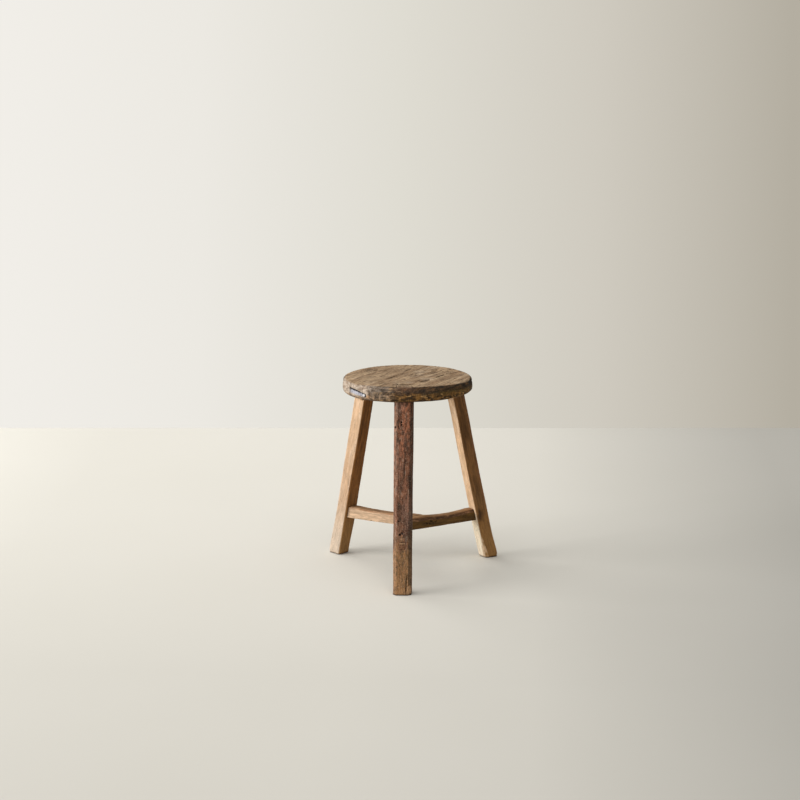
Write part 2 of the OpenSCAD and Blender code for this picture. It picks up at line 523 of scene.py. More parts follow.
# Small holes in the top, in millimetres from the seat's middle: place, radius, depth. The last seven
# are the row of pits behind the front leg's tenon.
TOP_HOLES = [
    ((77, 80), 1.9, 4),
    ((93, 81), 1.5, 3),
    ((93, 43), 1.8, 3),
    ((-120, 7), 2.2, 3),
    ((-22, 54), 1.6, 2.5),
    ((-8, 67), 1.5, 2.5),
    ((24, -100), 1.3, 3),
    ((-44, 96), 1.5, 3),
    ((36, 112), 1.2, 3),
    ((-80, -52), 1.2, 2.5),
    ((-25, -95), 3.2, 5),
    ((-17, -92), 4.4, 7),
    ((-8, -95), 5.0, 7),
    ((0, -92), 4.0, 6),
    ((6, -94), 5.0, 7),
    ((13, -91), 3.6, 6),
    ((19, -90), 4.2, 6),
]
# Broken-out bits along the joints of the tenons: start and end of the row and half width, in millimetres
TOP_PITS = [((-25, -95), (16, -92), 4.6), ((-109, 55), (-73, 82), 2.7), ((78, 66), (98, 79), 2.7)]


def top_waves(co):
    """The slow hollows worn into the whole top, in metres; the tenon ends share them."""
    return MM * 0.45 * layered(co / 0.05 + 3, 3)


def top_tone(co, q):
    """The grey-brown of the worn top."""
    ring = rings(q, (0.035, -0.085), 4.6 * MM, 3)
    aged = ramp(layered(q / [0.02, 0.03, 0.14] + 2, 3), -0.6, 0.7)
    tone = mix(srgb(169, 143, 113), srgb(142, 115, 87), aged)
    tone = mix(tone, srgb(190, 170, 146), 0.45 * ramp(layered(co / 0.045 + 8, 3), 0.1, 0.8))
    tone = mix(tone, srgb(104, 78, 54), 0.4 * ring * ramp(stretched(q, 0.02, 0.2, 4), -0.4, 0.4))
    dashes = ramp(noise(q / [0.0034, 0.004, 0.024] + 61), 0.3, 0.6) * ramp(noise(q / 0.03 + 5), -0.5, 0.1)
    dashes = np.maximum(dashes, ramp(noise(q / [0.0024, 0.004, 0.05] + 81), 0.34, 0.6))
    specks = ramp(layered(q / [0.0022, 0.003, 0.008] + 33, 2), 0.45, 0.8)
    tone = mix(tone, srgb(88, 66, 48), 0.6 * specks)
    lines = ramp(noise(q / [0.0016, 0.004, 0.03] + 91), 0.15, 0.5)
    tone = mix(tone, srgb(92, 70, 48), 0.35 * lines)
    return mix(tone * 1.05, srgb(72, 52, 36), 0.8 * dashes), ring, dashes


# The front of the top is worn away in a broad slope: its width in millimetres at each angle round the seat
SLOPE_ANGLES = [-152, -138, -126, -108, -90, -66, -45, -20, -4]
SLOPE_WIDTHS = [0, 8, 19, 32, 36, 32, 23, 9, 0]


def front_slope(co):
    """Each point's place on the worn front slope, 0 at its inner end and 1 at the rim, and its width."""
    rel = co - seat_mid
    angle = np.degrees(np.arctan2(rel[:, 1], rel[:, 0]))
    width = np.interp(angle, SLOPE_ANGLES, SLOPE_WIDTHS) * MM
    width = width * (1 + 0.12 * layered(co / 0.03 + 50, 2))
    share = (np.hypot(rel[:, 0], rel[:, 1]) - (SEAT_R - width)) / np.maximum(width, MM)
    return np.clip(share, 0, 1) * (width > 2 * MM), width


def slope_drop(co):
    """How far the worn slope lies below the flat top, in metres."""
    share, width = front_slope(co)
    return 0.34 * width * share**1.6


def seat_places(skin):
    """Where each point of the seat lies, which way it faces, and the noises that its wear shares."""
    at = SimpleNamespace()
    at.q = seat_axes(skin.co)
    at.rel = skin.co - seat_mid
    at.flat = at.rel[:, :2]
    at.radius = np.hypot(at.rel[:, 0], at.rel[:, 1])
    at.angle = np.degrees(np.arctan2(at.rel[:, 1], at.rel[:, 0]))
    at.arc = np.radians(at.angle) * SEAT_R
    at.down = seat_high[2] - skin.co[:, 2]
    at.on_slope, at.slope_width = front_slope(skin.co)
    at.normals = skin.normals()
    at.on_top = ramp(at.normals[:, 2], 0.55, 0.9)
    at.on_rim = ramp(np.hypot(at.normals[:, 0], at.normals[:, 1]), 0.45, 0.85)
    at.on_rim *= ramp(at.radius, SEAT_R - 14 * MM, SEAT_R - 11 * MM)
    at.facets = layered(skin.co / 0.013 + 9, 3)
    at.lumps = layered(skin.co / 0.0065 + 5, 2)
    return at


def seat_wear(skin, at, ring, dashes):
    """The slow wear of the whole seat, in metres."""
    fine = stretched(at.q, 1.7 * MM, 30 * MM, 5)
    rolls = layered(skin.co / 0.05 + 3, 3)
    sink = at.on_top * top_waves(skin.co)
    sink += at.on_top * MM * (0.35 * (0.4 - ring) + 0.2 * fine + 0.7 * dashes)
    sink += at.on_rim * MM * (0.8 * rolls + 0.5 * at.facets + 0.25 * at.lumps)
    sink += (1 - at.on_top) * (1 - at.on_rim) * MM * 0.25 * at.facets
    ends = np.abs(np.cos(np.radians(at.angle - CAMERA_TURN))) ** 4
    sink += at.on_rim * ends * MM * 1.6 * bell(at.down, 9 * MM, 4 * MM)
    return sink


def seat_cuts(skin, at):
    """The cracks, holes and broken rows in the top, and the checks in the rim, in metres."""
    cuts = np.zeros(len(skin.co))
    for number, (start, end, width, deep) in enumerate(TOP_CRACKS):
        place = np.array(start) * MM, np.array(end) * MM
        cuts = np.maximum(cuts, split(at.flat, *place, width * MM, deep * MM, number))
    ragged = at.flat + MM * 0.9 * np.stack([at.lumps, at.facets], axis=1)
    for place, size, deep in TOP_HOLES:
        cuts = np.maximum(cuts, pit(ragged, np.array(place) * MM, size * MM, deep * MM))
    for number, (start, end, width) in enumerate(TOP_PITS):
        place = np.array(start) * MM, np.array(end) * MM
        row = split(at.flat, *place, width * MM, 5.5 * MM, number + 20)
        cuts = np.maximum(cuts, row * ramp(noise(skin.co / 0.006 + number), -0.6, -0.1))
    cuts *= at.on_top

    # Short checks in the rim, deepest where the end grain shows
    q = at.q
    end_grain = np.abs(np.cos(np.radians(at.angle - SEAT_GRAIN)))
    check = np.abs(noise(np.stack([q[:, 0] / 0.0045, q[:, 1] / 0.03, q[:, 2] / 0.05], axis=1) + 31))
    rim_checks = at.on_rim * (1 - ramp(check, 0.02, 0.13)) * ramp(at.lumps, -0.5, 0.3)
    return np.maximum(cuts, rim_checks * MM * (0.1 + 1.2 * ramp(end_grain, 0.5, 0.95)))


def seat_pocket(at):
    """The pocket split out over the left leg: a ragged lip, a slope below it and a hole at its end."""
    gap = SimpleNamespace()
    along = np.radians(at.angle - POCKET_TURN) * SEAT_R
    teeth = MM * 1.0 * noise(np.stack([along / 0.0042, 0 * along, 0 * along + 3], axis=1))
    below = at.down - (15.4 * MM + 0.045 * along) + teeth
    inside = ramp(along, -36 * MM, -28 * MM) * (1 - ramp(along, 23 * MM, 27 * MM))
    pocket = at.on_rim * inside * ramp(below, -0.4 * MM, 0.8 * MM) * (1 - ramp(below, 6 * MM, 8.5 * MM))
    lip = at.on_rim * ramp(along, -38 * MM, -32 * MM) * (1 - ramp(along, 26 * MM, 30 * MM))
    lip *= bell(below, -1 * MM, 2.5 * MM)
    hole = at.on_rim * bell(along, 26.5 * MM, 3.2 * MM) * bell(below, 4 * MM, 4 * MM)
    slope = 1 - 0.75 * ramp(below, 0, 9 * MM)
    gap.cut = np.maximum(4.5 * MM * pocket * slope, np.maximum(3.2 * MM * lip, 5.5 * MM * hole))
    gap.along, gap.below = along, below
    gap.pocket, gap.lip, gap.hole = pocket, lip, hole
    return gap


def seat_damage(skin, at, along):
    """The chips in the lower edge, the ragged strip under the pocket and the notch at the right."""
    low_chip = ramp(at.down, SEAT_T - 8 * MM, SEAT_T - 2 * MM) * at.on_rim
    chips = low_chip * ramp(layered(skin.co / 0.012 + 21, 2), 0.3, 0.65)
    fringe = layered(np.stack([along / 0.0058, at.down / 0.02, 0 * along + 6], axis=1), 3)
    broken = ramp(at.down, SEAT_T - 7 * MM, SEAT_T - MM)
    broken = broken * ramp(at.radius, SEAT_R - 18 * MM, SEAT_R - 11 * MM)
    broken *= np.exp(-(((along - 8 * MM) / (14 * MM)) ** 4)) * ramp(fringe, -0.35, 0.35)
    notch_at = (at.arc - math.radians(NOTCH_TURN) * SEAT_R) / (20 * MM), (at.down - 5 * MM) / (11 * MM)
    notch = 1 - ramp(np.hypot(*notch_at) + 0.3 * at.lumps, 0.4, 1.1)
    notch = notch * ramp(at.radius, SEAT_R - 12 * MM, SEAT_R - 5 * MM)
    return chips, broken, notch


def rim_tone(skin, at, gap, broken, notch):
    """The rim's colours: dark above, yellower below, grey round the pocket, and painted shadow lines."""
    wobble = MM * (2.0 * noise(np.stack([at.arc / 0.018, 0 * at.arc, 0 * at.arc], axis=1)) + 1.4 * at.lumps)
    down = seat_high[2] - skin.co[:, 2] + wobble
    band = (15 - 6.5 * np.clip(at.slope_width / (36 * MM), 0, 1)) * MM
    rim_place = np.stack([at.arc / 2.6, down, at.radius], axis=1)
    mottle = layered(rim_place / 0.0065 + 4, 3)
    streaks = noise(np.stack([at.arc / 0.0022, down / 0.016, 0 * at.arc + 9], axis=1))
    upper = mix(srgb(78, 54, 29), srgb(38, 25, 12), ramp(mottle, -0.35, 0.25))
    upper = mix(upper, srgb(108, 76, 52), 0.6 * bell(at.angle, -92, 14))
    lower = mix(srgb(124, 88, 44), srgb(62, 42, 20), ramp(mottle, -0.35, 0.25))
    lower = mix(lower, srgb(184, 144, 92), 0.8 * ramp(layered(rim_place / 0.004 + 24, 2), 0.45, 0.75))
    rim = mix(upper, lower, ramp(down - band, -2 * MM, 7 * MM))
    # Painted shadow: a dark line where the dark upper band meets the lower one.
    rim = mix(rim, srgb(36, 25, 17), 0.6 * bell(down, band, 2.8 * MM))
    rim = mix(rim, srgb(38, 26, 18), 0.8 * ramp(at.down, SEAT_T - 3.0 * MM, SEAT_T - 0.5 * MM))
    rim = rim * mix(0.72, 1.28, ramp(streaks, -0.5, 0.5))[:, None]
    rim = rim * mix(0.74, 1.26, ramp(layered(rim_place / 0.0035 + 14, 2), -0.5, 0.5))[:, None]
    yellow = bell(at.angle, -32, 22) * bell(down, band + 3.5 * MM, 5 * MM)
    rim = mix(rim, srgb(134, 104, 50), 0.7 * yellow * ramp(mottle, -0.6, 0.3))
    # The grey on the rim's left front faces the key lamp: it is partly weathered grey and partly painted
    # light; a fainter grey patch lies at the back right.
    side = np.abs((at.angle - GREY_TURN + 180) % 360 - 180)
    pale = np.maximum(ramp(side + 4 * mottle, 31, 19), 0.42 * ramp(side + 9 * mottle, 52, 34))
    pale = np.maximum(pale, 0.5 * ramp(np.abs(at.angle - FAR_GREY_TURN) + 8 * mottle, 30, 12))
    grey = mix(srgb(182, 166, 150), srgb(146, 127, 110), ramp(mottle, -0.2, 0.5))
    grey = mix(grey, srgb(120, 96, 76), 0.6 * ramp(layered(skin.co / 0.0032 + 44, 2), 0.35, 0.75))
    rim = mix(rim, grey, 0.95 * pale * (1 - 0.55 * ramp(down, SEAT_T - 9 * MM, SEAT_T)))
    between = ramp(side, 22, 30) * (1 - ramp(side, 46, 58))
    rim = mix(rim, srgb(44, 36, 28), 0.6 * between * ramp(layered(rim_place / 0.008 + 64, 3), -0.1, 0.5))
    rim = mix(rim, srgb(186, 150, 106), 0.5 * between * ramp(layered(rim_place / 0.005 + 84, 2), 0.35, 0.7))
    rim = mix(rim, srgb(168, 170, 182), 0.9 * gap.pocket)
    # Painted shadow: the dark line under the pocket's overhanging lip.
    rim = mix(rim, srgb(44, 36, 32), 0.9 * gap.lip * (1 - 0.6 * ramp(at.lumps, 0.1, 0.5)))
    glint = bell(gap.along, 20 * MM, 3 * MM) * bell(gap.below, 4.5 * MM, 2.5 * MM)
    rim = mix(rim, srgb(226, 224, 222), glint)
    rust = bell(gap.along, 35 * MM, 6 * MM) * bell(gap.below, 4 * MM, 6 * MM)
    rim = mix(rim, srgb(186, 140, 96), 0.8 * rust * at.on_rim)
    rim = mix(rim, srgb(214, 164, 116), 0.9 * broken)
    rim = mix(rim, srgb(20, 15, 11), 0.95 * notch)
    return rim


def build_seat():
    skin = Skin("seat", 1.43 * MM, SOFTEN_ROUNDS, HEADS.values(), HEAD_REACH)
    at = seat_places(skin)
    tone, ring, dashes = top_tone(skin.co, at.q)
    gap = seat_pocket(at)
    cuts = np.maximum(seat_cuts(skin, at), gap.cut)
    chips, broken, notch = seat_damage(skin, at, gap.along)
    sink = seat_wear(skin, at, ring, dashes) + 1.7 * MM * chips + 0.5 * MM * broken + 2.8 * MM * notch
    skin.sink(sink + cuts)
    # The worn slope takes the upper part of the slab down with it
    upper_half = 1 - ramp(at.down, 10 * MM, 26 * MM)
    skin.co[:, 2] -= slope_drop(skin.co) * upper_half
    # The slab is a little thicker towards the left
    towards_left = -(at.rel @ direction(CAMERA_TURN))
    share = ramp(at.down, 0.35 * SEAT_T, SEAT_T)
    skin.co[:, 2] -= share * np.clip(0.022 * towards_left, -0.6 * MM, 2.6 * MM)
    skin.co[:, 2] -= 3.4 * MM * broken
    skin.put()

    worn_top = ramp(at.normals[:, 2], 0.8, 0.975) * (1 - ramp(at.on_slope * at.slope_width, 0.5 * MM, 6 * MM))
    tone_top = mix(tone, tone * 1.12, ramp(at.radius, SEAT_R * 0.7, SEAT_R * 0.9))
    rim = rim_tone(skin, at, gap, broken, notch)
    under = mix(srgb(104, 78, 52), srgb(76, 55, 37), patches(at.q, 0.02, 0.1, 12, -0.2, 0.6))
    on_side = np.maximum(np.maximum(at.on_rim, broken), ramp(at.normals[:, 2], -0.75, -0.3))
    side_tone = mix(under, rim, on_side)
    tone = mix(side_tone, tone_top, worn_top)
    dark = ramp(cuts, 0.5 * MM, 2.2 * MM) * (1 - gap.pocket * (1 - np.clip(gap.lip + gap.hole, 0, 1)))
    rubbed = ramp(skin.edge, 0.3 * MM, 1.1 * MM) * ramp(at.normals[:, 2], 0.6, 0.95) * 0.4
    # The lip's dark line also goes into the dark mask, as painted shadow.
    skin.paint(tone, at.q, np.maximum(dark, 0.9 * gap.lip), rubbed)
    skin.finish(SEAT_WOOD, "seat_wood")


# ---- the legs

# How much thicker each leg stands than its drawn section, at the foot and at the top, in millimetres
GROWTH = {"front_leg": (0.2, 1.3), "left_leg": (2.0, 0.5), "right_leg": (1.9, 0.5)}


def below_seat(co):
    """1 on the part of a leg below the seat, fading to 0 just inside its mortise."""
    return 1 - ramp(co[:, 2], seat_low[2] + 3 * MM, seat_low[2] + 8 * MM)


def leg_skin(node, seed, wear):
    """The shared shape of a leg: rubbed arrises, slow waves, ridged grain and a bruised foot."""
    base, axes = leg_axes(node, seat_mid)
    skin = Skin(node, 1.0 * MM, SOFTEN_ROUNDS, (HEADS[node], *JOINTS.get(node, ())), HEAD_REACH)
    q = (skin.co - base) @ axes.T
    ring = rings(q, (0.03, 0.05), 3.4 * MM, seed)
    waves = layered(q / [0.03, 0.03, 0.09] + seed, 3)
    nicks = layered(q / [0.008, 0.008, 0.016] + seed + 5, 3)
    arris = ramp(skin.edge, 0.25 * MM, 1.0 * MM)
    body = below_seat(skin.co) * ramp(q[:, 2], 0, 6 * MM)
    height = q[:, 2] / seat_low[2]
    at_foot, at_top = GROWTH[node]
    sink = MM * 0.4 * waves + MM * 0.26 * (0.5 - ring) - body * MM * mix(at_foot, at_top, height)
    sink += 0.12 * MM * stretched(q, 1.2 * MM, 24 * MM, seed + 3)
    sink += arris * wear * MM * (0.25 * waves + 0.8 * ramp(nicks, 0.2, 0.8))
    foot = 1 - ramp(q[:, 2], 2 * MM, 12 * MM)
    sink += foot * arris * MM * (0.3 + 0.9 * ramp(nicks, 0, 0.7))
    cracked = np.abs(noise(q / [0.006, 0.006, 0.11] + seed + 40))
    cracks = (1 - ramp(cracked, 0.0, 0.045)) * ramp(stretched(q, 0.02, 0.1, seed + 8), 0.1, 0.45)
    cuts = cracks * 1.1 * MM
    sink *= skin.open
    head = ramp(skin.co[:, 2], seat_high[2] - 3 * MM, seat_high[2] - MM)
    sink = mix(sink, top_waves(skin.co) - 0.15 * MM + 0.25 * MM * nicks + slope_drop(skin.co), head)
    return skin, axes, q, ring, waves, nicks, arris, sink, cuts * (1 - head)


def round_off(q, side, radius):
    """How far the outer arris on one side is rounded, as a push along the leg's out and side axes."""
    width = np.percentile(np.abs(q[:, 1]), 97), np.percentile(q[:, 0], 97)
    u = radius - (width[1] - q[:, 0])
    v = radius - (width[0] - q[:, 1] * side)
    past = np.hypot(np.clip(u, 0, None), np.clip(v, 0, None))
    share = np.clip(past - radius, 0, None) / np.maximum(past, MM) * (u > 0) * (v > 0)
    return -share * u, -share * v * side


def end_tone(skin, tone):
    """The leg's colour, turning into the top's grey-brown at its end in the seat."""
    top = top_tone(skin.co, seat_axes(skin.co))[0]
    speck = ramp(layered(skin.co / 0.0016 + 4, 2), -0.5, 0.7)
    top = top * mix(0.72, 1.0, speck)[:, None]
    share, width = front_slope(skin.co)
    worn = mix(srgb(122, 92, 70), srgb(84, 62, 46), speck)
    top = mix(top, worn, ramp(share * width, 2 * MM, 8 * MM))
    high = ramp(skin.co[:, 2], seat_high[2] - 3.5 * MM, seat_high[2] - 2.5 * MM)
    tone = mix(tone, top, high)
    low = 1 - ramp(skin.co[:, 2], 1.5 * MM, 5 * MM)
    return mix(tone, srgb(48, 36, 26), 0.75 * low)


def face_masks(skin, axes):
    """How far each point faces outwards and sideways, from -1 to 1."""
    normals = skin.normals()
    return normals @ axes[0], normals @ axes[1]


# Old nail holes and pits in the front leg's outer face: across, up, radius and depth in millimetres
FRONT_HOLES = [
    (-4.9, 139, 2.9, 3),
    (-4.4, 401, 1.9, 6),
    (-4.0, 395, 1.6, 5),
    (-18.5, 389, 2.0, 5),
    (-8.4, 170, 1.7, 3),
    (6, 330, 1.2, 2),
]
# Splits in the same face: start and end, across and up, then half width and depth, in millimetres
FRONT_SPLITS = [
    ((9, -6), (13.5, 56), 1.0, 1.9),
    ((-12, 205), (-9, 300), 0.9, 1.6),
    ((3, 250), (6, 330), 0.7, 1.2),
    ((-4, 20), (-6, 75), 0.7, 1.2),
]


def build_front_leg():
    skin, axes, q, ring, _, nicks, arris, sink, cuts = leg_skin("front_leg", 11, 0.7)
    out, side = face_masks(skin, axes)
    front = ramp(out, 0.3, 0.7)
    flat = q[:, 1:]
    # The foot leans a little to the right, and its outer arrises are rubbed round
    lean = (1.1 * MM + 1.2 * MM * (1 - ramp(q[:, 2], 0, 110 * MM))) * (1 - ramp(q[:, 2], 0, 420 * MM))
    sink = sink - lean * side * skin.open
    bare = below_seat(skin.co)[:, None]
    for hand, radius in ((-1, 10 * MM), (1, 8 * MM)):
        outwards, sideways = round_off(q, hand, radius)
        skin.co += bare * (outwards[:, None] * axes[0] + sideways[:, None] * axes[1])
    for across, up, size, deep in FRONT_HOLES:
        cuts = np.maximum(cuts, front * pit(flat, (across * MM, up * MM), size * MM, deep * MM))
    for number, (start, end, width, deep) in enumerate(FRONT_SPLITS):
        place = np.array(start) * MM, np.array(end) * MM
        cuts = np.maximum(cuts, front * split(flat, *place, width * MM, deep * MM, number))
    chip_at = np.hypot((q[:, 1] - 16 * MM) / (7 * MM), (q[:, 2] - 9 * MM) / (13 * MM))
    chip = front * (1 - ramp(chip_at + 0.25 * nicks, 0.6, 1.05))
    dents = patches(q, 0.005, 0.008, 19, 0.35, 0.8, 2)
    sink = sink + 1.6 * MM * chip + 0.5 * MM * dents
    skin.sink(sink + cuts)
    skin.stand()

    mottle = layered(q / [0.0045, 0.0045, 0.012] + 3, 3)
    red = mix(srgb(124, 79, 57), srgb(80, 49, 34), patches(q, 0.012, 0.05, 3, -0.4, 0.6))
    red = mix(red, red * [1.22, 1.12, 1.04], ramp(q[:, 2], 0.28, 0.38))
    red = mix(red, srgb(142, 104, 88), 0.5 * patches(q, 0.02, 0.07, 7, 0.1, 0.7))
    red = mix(red, srgb(160, 138, 120), 0.5 * patches(q, 0.009, 0.02, 27, 0.3, 0.8))
    tan = mix(srgb(164, 122, 80), srgb(122, 86, 54), ramp(mottle, -0.3, 0.6))
    height = q[:, 2] + 0.045 * layered(q / [0.012, 0.012, 0.04] + 1, 3)
    tone = mix(tan, red, ramp(height, 0.07, 0.15))
    rough = 1 - ramp(q[:, 2], 0.08, 0.14) * (1 - ramp(q[:, 2], 0.3, 0.36))
    tone = tone * mix(0.72 - 0.24 * rough, 1.26 + 0.26 * rough, ramp(mottle, -0.6, 0.6))[:, None]
    tone = mix(tone, srgb(52, 38, 30), 0.7 * patches(q, 0.006, 0.014, 15, 0.3, 0.75))
    grit = layered(q / [0.0022, 0.0022, 0.0034] + 35, 2)
    tone = tone * mix(0.8, 1.16, ramp(grit, -0.5, 0.5))[:, None]
    tone = mix(tone, srgb(190, 160, 136), 0.55 * ramp(grit, 0.5, 0.85))
    tone = mix(tone, srgb(70, 48, 34), 0.3 * ring)
    worn = ramp(-side, 0.35, 0.8) * ramp(out, 0.2, 0.5)
    tone = mix(tone, srgb(150, 116, 96), 0.35 * worn * ramp(mottle, -0.5, 0.3))
    # Painted shade: the right face, turned away from the key lamp, is darkened.
    tone = mix(tone, srgb(46, 33, 24), 0.6 * ramp(side, 0.35, 0.75))
    tone = mix(tone, srgb(196, 152, 112), 0.75 * chip * ramp(mottle, -0.7, 0.1))
    halo = front * bell(q[:, 1], -2 * MM, 2.4 * MM) * bell(q[:, 2], 129 * MM, 2.4 * MM)
    tone = mix(tone, srgb(196, 158, 124), 0.6 * halo)
    ground = front * bell(q[:, 1], -6 * MM, 5 * MM) * bell(q[:, 2], 151 * MM, 16 * MM)
    tone = mix(tone, srgb(150, 118, 92), 0.5 * ground * ramp(mottle, -0.4, 0.4))
    dark = ramp(cuts, 0.5 * MM, 1.8 * MM)
    skin.paint(end_tone(skin, tone), q, dark, arris * 0.5 * ramp(nicks, -0.2, 0.5))
    skin.finish(RED_WOOD, "red_leg_wood")


def build_back_leg(node, seed, shaded_brown_face):
    """A pale leg; the last argument is the direction, in its own axes, of its browner, partly shaded face."""
    skin, axes, q, ring, waves, nicks, arris, sink, cuts = leg_skin(node, seed, 0.6)
    out, side = face_masks(skin, axes)
    # The face turned away from the key lamp is brown: partly the wood's own patina, partly painted shade.
    shade = ramp(out * shaded_brown_face[0] + side * shaded_brown_face[1], 0.3, 0.7)
    height = q[:, 2] / seat_low[2]
    fresh = np.zeros(len(q))
    to_right = direction(CAMERA_TURN)
    visible = 1 - ramp(skin.co[:, 2], seat_low[2] - 2 * MM, seat_low[2] + 2 * MM)
    if node == "left_leg":
        # The near arris stands a little to the right up high, and the foot flares to the left
        near = np.clip(0.5 - q[:, 0] / (36 * MM), 0, 1) * np.clip(0.5 + q[:, 1] / (36 * MM), 0, 1)
        low = 1 - ramp(q[:, 2], 15 * MM, 95 * MM)
        shift = 2.2 * MM * near * ramp(height, 0.3, 0.8) * visible - 3.0 * MM * low * (1 - near)
        skin.co += shift[:, None] * to_right
    if node == "right_leg":
        # The leg stands a little to the right near the seat and at the outer side of its foot
        foot = (1 - ramp(q[:, 2], 10 * MM, 60 * MM)) * ramp(q[:, 0], -5 * MM, 10 * MM)
        shift = 2.4 * MM * ramp(height, 0.45, 0.95) * visible + 2.0 * MM * foot
        skin.co += shift[:, None] * to_right
        # A slice off the near arris at the foot, and the gnawed corner on its other side
        low = 1 - ramp(height, 0.0, 0.2)
        slice_depth = (q[:, 0] + q[:, 1]) / -math.sqrt(2) - (22.3 * MM - 5.2 * MM * low)
        fresh = ramp(slice_depth, -0.6 * MM, 0.4 * MM) * ramp(low, 0, 0.1)
        skin.co += np.clip(slice_depth, 0, None)[:, None] * (axes[0] + axes[1]) / math.sqrt(2)
        gnawed = (1 - ramp(q[:, 2], 5 * MM, 26 * MM)) * ramp(q[:, 1], 2 * MM, 15 * MM) * ramp(-out, -0.2, 0.5)
        bite = bell(q[:, 1], -6 * MM, 3.5 * MM) * bell(q[:, 2], 2 * MM, 4 * MM)
        sink = sink + 0.8 * MM * gnawed * (0.8 + 0.5 * nicks) + 2.5 * MM * bite * ramp(-out, 0.2, 0.6)
    skin.sink(sink + cuts)
    skin.stand()

    pale = mix(srgb(202, 164, 128), srgb(190, 152, 116), patches(q, 0.009, 0.08, seed, -0.4, 0.6))
    pale = mix(pale, srgb(208, 178, 148), 0.5 * patches(q, 0.02, 0.06, seed + 2, 0.1, 0.7))
    pale = mix(pale, srgb(214, 192, 166), 0.8 * (1 - ramp(height, 0.05, 0.4)))
    brown = mix(srgb(128, 86, 46), srgb(104, 68, 34), patches(q, 0.01, 0.08, seed + 4, -0.3, 0.6))
    brown = mix(brown, srgb(78, 50, 24), 0.6 * patches(q, 0.005, 0.07, seed + 6, 0.2, 0.7))
    brown = mix(brown, srgb(134, 104, 68), 0.75 * (1 - ramp(height, 0.05, 0.5)))
    if node == "right_leg":
        stripes = ramp(noise(q / [0.0035, 0.0035, 0.2] + 77), -0.25, 0.2)
        brown = brown * mix([1.0, 1.0, 1.0], [0.86, 0.98, 1.3], ramp(height, 0.2, 0.4))
        brown = mix(brown, srgb(40, 27, 17), 0.22 * stripes * ramp(height, 0.55, 0.85))
        # Painted light: the brown face is lighter near the seat, to make up for the seat's shadow on it.
        brown = brown * mix(1.0, 1.2, ramp(height, 0.7, 0.95))[:, None]
        strip = bell(q[:, 0], 12 * MM, 3.5 * MM) * ramp(height, 0.2, 0.4)
        brown = mix(brown, srgb(128, 88, 66), 0.6 * strip * ramp(nicks, -0.6, 0.2))
        knot_at = np.hypot((q[:, 0] + 7 * MM) / (9 * MM), (q[:, 2] - 118 * MM) / (22 * MM))
        brown = mix(brown, srgb(48, 32, 20), 0.85 * (1 - ramp(knot_at + 0.5 * nicks, 0.2, 1.3)))
        # Painted light: the inner face is painted lighter, most of all below the rails, to make up for the
        # shadow the rails and hub cast on it.
        inner = ramp(-out, 0.3, 0.7)
        pale = mix(pale, srgb(240, 218, 190), 0.8 * inner * (1 - ramp(height, 0.2, 0.3)))
        pale = pale * [1.0, 1.07, 1.14] * mix(1.0, 1.22, inner)[:, None]
    if node == "left_leg":
        pale = pale * mix([0.87, 0.93, 1.03], [1.11, 1.2, 1.32], ramp(height, 0.4, 0.9))
    brown = brown * [1.2, 1.14, 0.96] * mix(1.12, 1.0, ramp(height, 0.1, 0.5))[:, None]
    tone = mix(pale, brown, shade)
    tone = mix(tone, srgb(112, 76, 46), 0.3 * ring * (0.4 + 0.6 * ramp(waves, -0.5, 0.5)))
    tone = tone * mix(0.9, 1.1, patches(q, 0.004, 0.02, seed, -0.6, 0.6, 2))[:, None]
    tone = mix(tone, srgb(216, 184, 150), 0.8 * fresh * ramp(nicks, -0.9, 0.2))
    flecks = patches(q, 0.0022, 0.006, seed + 31, 0.55, 0.8, 2)
    tone = mix(tone, srgb(84, 58, 38), 0.6 * flecks)
    dark = ramp(cuts, 0.5 * MM, 1.6 * MM)
    skin.paint(end_tone(skin, tone), q, dark, arris * 0.4 * ramp(nicks, -0.3, 0.5))
    skin.finish(PALE_WOOD, "pale_leg_wood")


# ---- the rails


def top_line(q):
    """The height of the rail's top at each point, in its own axes."""
    step = 3 * MM
    slot = np.round(q[:, 2] / step).astype(int)
    first = slot.min()
    tops = np.full(slot.max() - first + 1, -1.0)
    np.maximum.at(tops, slot - first, q[:, 1])
    places = (np.arange(len(tops)) + first) * step
    return np.interp(q[:, 2], places[tops > 0], tops[tops > 0])


